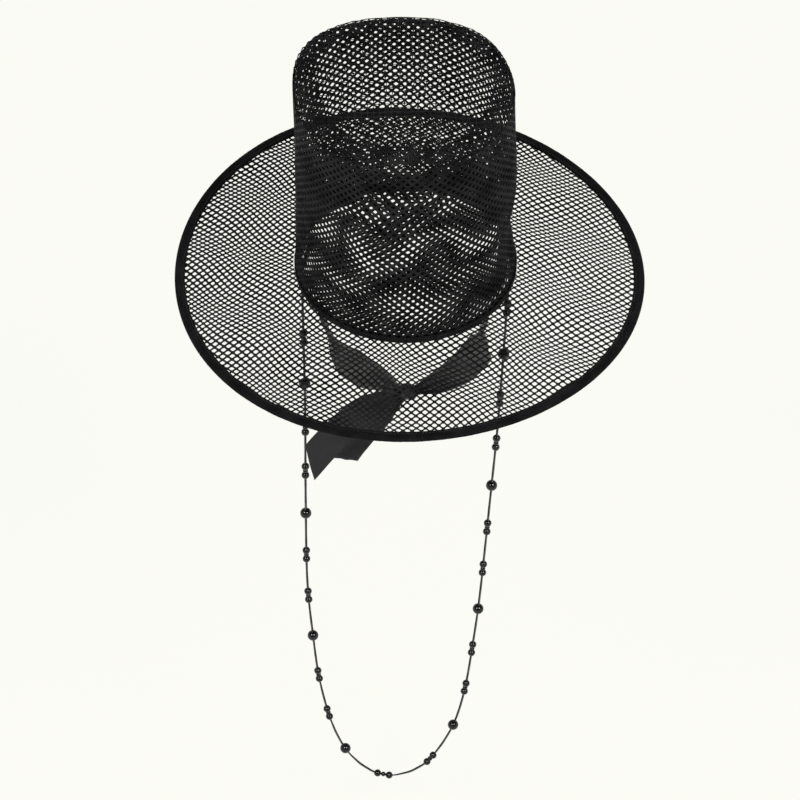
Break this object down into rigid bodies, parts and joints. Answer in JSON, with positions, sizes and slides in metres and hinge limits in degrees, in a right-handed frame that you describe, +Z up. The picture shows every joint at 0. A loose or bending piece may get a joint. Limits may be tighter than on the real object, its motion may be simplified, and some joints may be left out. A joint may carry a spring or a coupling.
{
  "type": "wide-brimmed net hat",
  "caption": "Tall black net hat with a wide bound brim, ribbon ties and a long beaded cord.",
  "frame": {"origin": "centre of the head opening, at the middle of the ring where the crown meets the brim", "axes": "+Z up along the crown, -Y towards the side with the ties' sewn ends, +X to the right seen from there"},
  "size_m": [0.4, 0.4, 0.9176],
  "materials": {
    "net": "matte knitted net",
    "binding_tape": "matte woven tape",
    "wire": "plain",
    "cord": "twisted cord",
    "bead": "polished",
    "ribbon": "sheer woven ribbon"
  },
  "bodies": {
    "root": {"base_ring_binding": "binding_tape", "base_ring_wire": "wire", "bead_cord": "cord", "beads_left_01": "bead", "beads_left_02": "bead", "beads_left_03": "bead", "beads_left_04": "bead", "beads_left_05": "bead", "beads_left_06": "bead", "beads_left_07": "bead", "beads_left_08": "bead", "beads_left_09": "bead", "beads_left_10": "bead", "beads_left_11": "bead", "beads_left_12": "bead", "beads_right_01": "bead", "beads_right_02": "bead", "beads_right_03": "bead", "beads_right_04": "bead", "beads_right_05": "bead", "beads_right_06": "bead", "beads_right_07": "bead", "beads_right_08": "bead", "beads_right_09": "bead", "beads_right_10": "bead", "beads_right_11": "bead", "beads_right_12": "bead", "brim_edge_binding": "binding_tape", "brim_hoop_wire": "wire", "brim_net": "net", "cord_tab_left": "binding_tape", "cord_tab_right": "binding_tape", "crown_lining_net": "net", "crown_shoulder_net": "net", "crown_top_net": "net", "crown_wall_net": "net", "tie_end_left": "ribbon", "tie_end_right": "ribbon", "tie_knot": "ribbon", "tie_left": "ribbon", "tie_right": "ribbon"}
  },
  "joints": []
}
